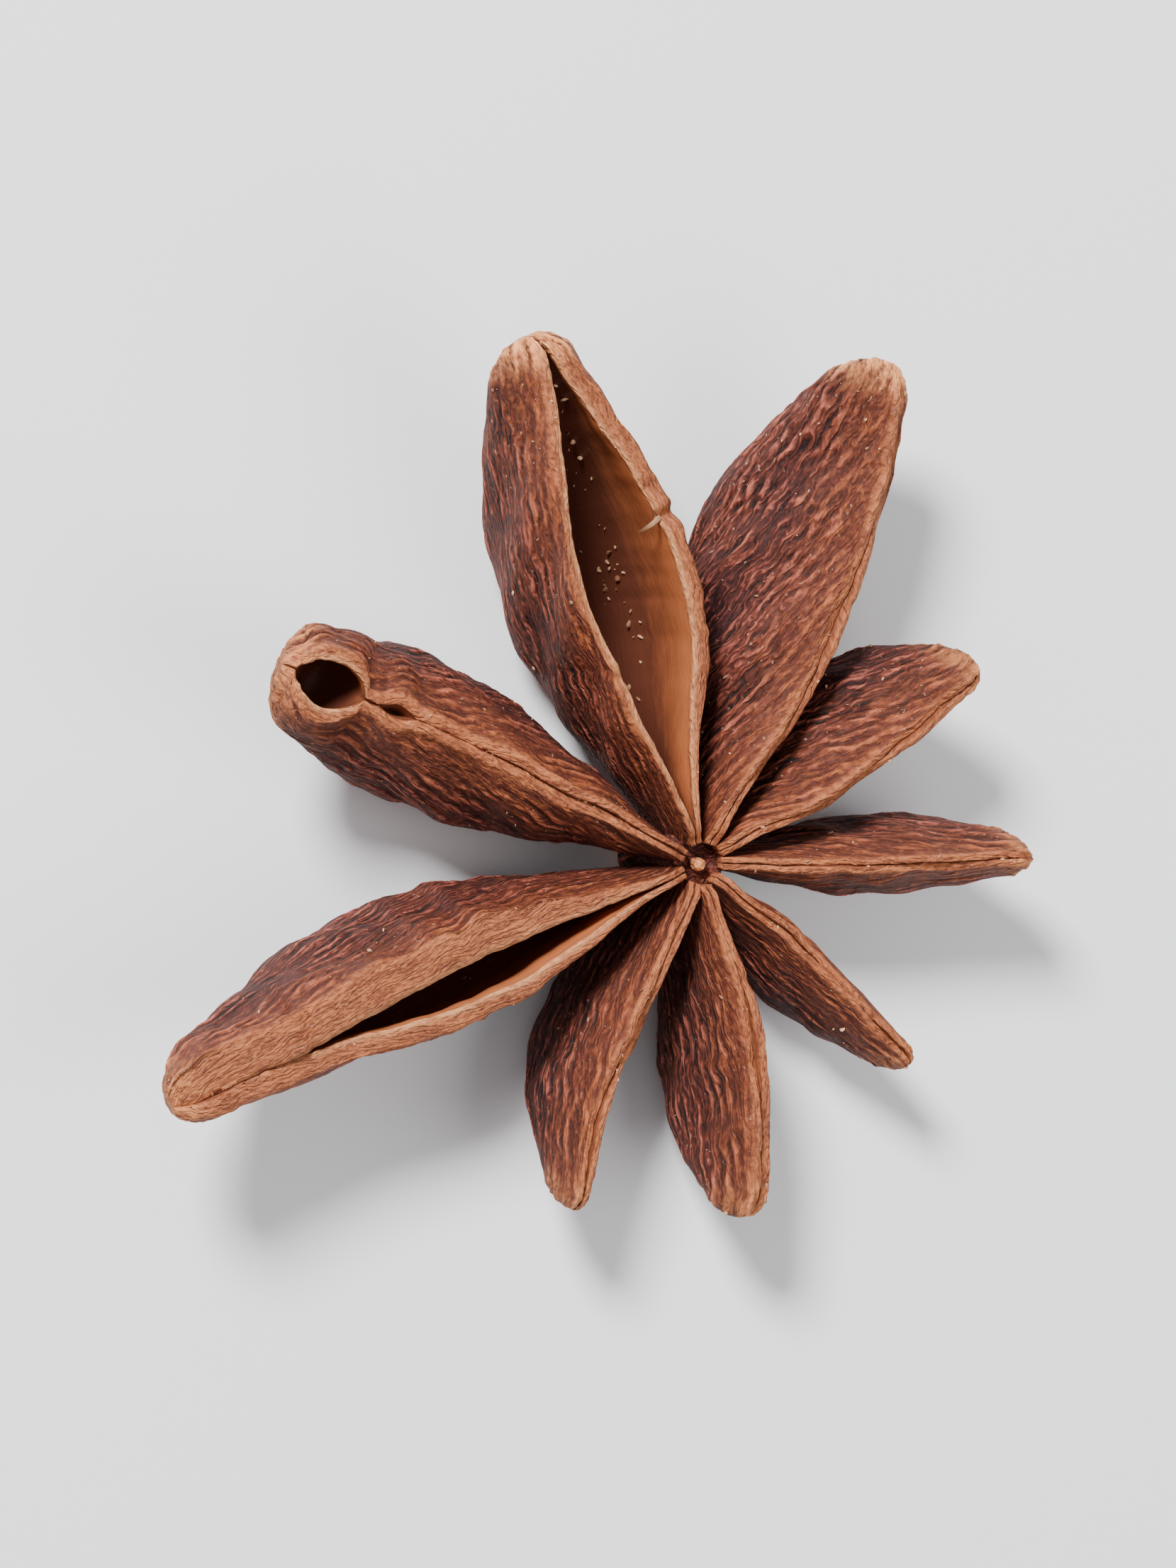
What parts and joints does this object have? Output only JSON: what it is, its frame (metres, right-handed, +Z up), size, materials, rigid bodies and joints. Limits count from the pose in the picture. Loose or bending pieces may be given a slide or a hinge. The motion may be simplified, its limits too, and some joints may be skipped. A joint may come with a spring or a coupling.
{
  "type": "star anise pod",
  "caption": "Dried star anise pod: boat-shaped woody carpels round a short hub, seams up, one carpel wide open and one slit.",
  "frame": {"origin": "middle of the bounding box, on the ground that the pod lies on", "axes": "+Z up out of the seams' side, +Y towards the open carpel, -X towards the longest carpel"},
  "size_m": [0.0304, 0.0296, 0.0083],
  "materials": {
    "husk": "dry, wrinkled, matt; smooth inside"
  },
  "bodies": {
    "root": {"pod": "husk"}
  },
  "joints": []
}
